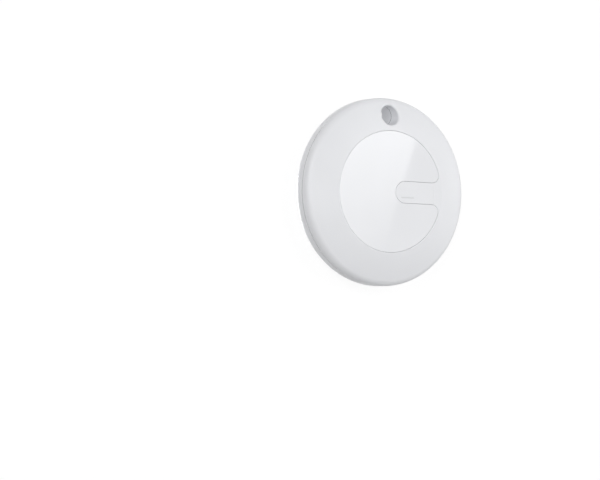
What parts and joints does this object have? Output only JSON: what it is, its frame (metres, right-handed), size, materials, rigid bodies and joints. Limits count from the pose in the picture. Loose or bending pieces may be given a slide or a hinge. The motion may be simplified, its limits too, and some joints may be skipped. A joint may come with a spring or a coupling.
{
  "type": "bluetooth tracker tag",
  "caption": "Round white key-finder tag: matte two-part case with a lanyard hole, a gloss round inlay and a press tongue, on a coin-cell radio board.",
  "frame": {"origin": "centre of the flat back, where the tag rests", "axes": "+Z out of the front face, +Y towards the lanyard hole, +X towards the root of the press tongue"},
  "size_m": [0.038, 0.038, 0.0075],
  "materials": {
    "shell_white": "moulded matte ABS",
    "shell_white_back": "moulded matte ABS",
    "inlay_gloss": "gloss back-painted polycarbonate",
    "adhesive": "acrylic adhesive film",
    "tongue_white": "moulded matte ABS",
    "membrane_rubber": "thin translucent silicone",
    "gasket_rubber": "moulded silicone",
    "foam": "closed-cell foam",
    "board_laminate": "glass-epoxy laminate with solder mask",
    "screw_steel": "nickel-plated steel",
    "cell_steel": "nickel-plated steel",
    "cell_seal_plastic": "polypropylene",
    "cell_cathode_mix": "pressed manganese dioxide",
    "cell_separator_felt": "polypropylene felt",
    "cell_anode_metal": "lithium foil",
    "holder_plastic": "glass-filled nylon",
    "contact_metal": "gold-flashed phosphor bronze",
    "switch_metal": "tinned steel",
    "plunger_plastic": "moulded nylon",
    "chip_resin": "moulded epoxy",
    "crystal_can": "kovar lid",
    "antenna_ceramic": "fired ceramic",
    "buzzer_plastic": "liquid-crystal polymer",
    "buzzer_brass": "rolled brass with a ceramic layer",
    "capacitor_ceramic": "fired ceramic"
  },
  "bodies": {
    "back": {"back_cover": "shell_white_back", "main_gasket": "gasket_rubber", "cell_pad": "foam"},
    "front": {"front_shell": "shell_white", "front_inlay": "inlay_gloss", "inlay_adhesive": "adhesive", "button_membrane": "membrane_rubber", "circuit_board": "board_laminate", "board_screw_1": "screw_steel", "board_screw_2": "screw_steel", "board_screw_3": "screw_steel", "cell_can": "cell_steel", "cell_cap": "cell_steel", "cell_seal": "cell_seal_plastic", "cell_cathode": "cell_cathode_mix", "cell_separator": "cell_separator_felt", "cell_anode": "cell_anode_metal", "cell_holder": "holder_plastic", "positive_contact": "contact_metal", "negative_contact": "contact_metal", "switch_body": "switch_metal", "radio_chip": "chip_resin", "crystal": "crystal_can", "chip_antenna": "antenna_ceramic", "buzzer_case": "buzzer_plastic", "buzzer_disc": "buzzer_brass", "capacitor_1": "capacitor_ceramic", "capacitor_2": "capacitor_ceramic", "capacitor_3": "capacitor_ceramic", "capacitor_4": "capacitor_ceramic", "capacitor_5": "capacitor_ceramic"},
    "tongue": {"press_tongue": "tongue_white"},
    "plunger": {"switch_plunger": "plunger_plastic"}
  },
  "joints": [
    {"name": "case_open", "type": "slide", "parent": "back", "child": "front", "axis": [0, 0, 1], "range_m": [0, 0.008]},
    {"name": "tongue_press", "type": "hinge", "parent": "front", "child": "tongue", "pos_m": [0.0104, 0, 0.00702], "axis": [0, -1, 0], "range_deg": [0, 1.5], "stiffness_Nm_per_rad": 0.05, "deforming": ["button_membrane"]},
    {"name": "plunger_travel", "type": "slide", "parent": "front", "child": "plunger", "axis": [0, 0, -1], "range_m": [0, 0.00019]}
  ],
  "couplings": [
    {"joint": "plunger_travel", "follows": "tongue_press", "m_per_rad": 0.00702}
  ]
}
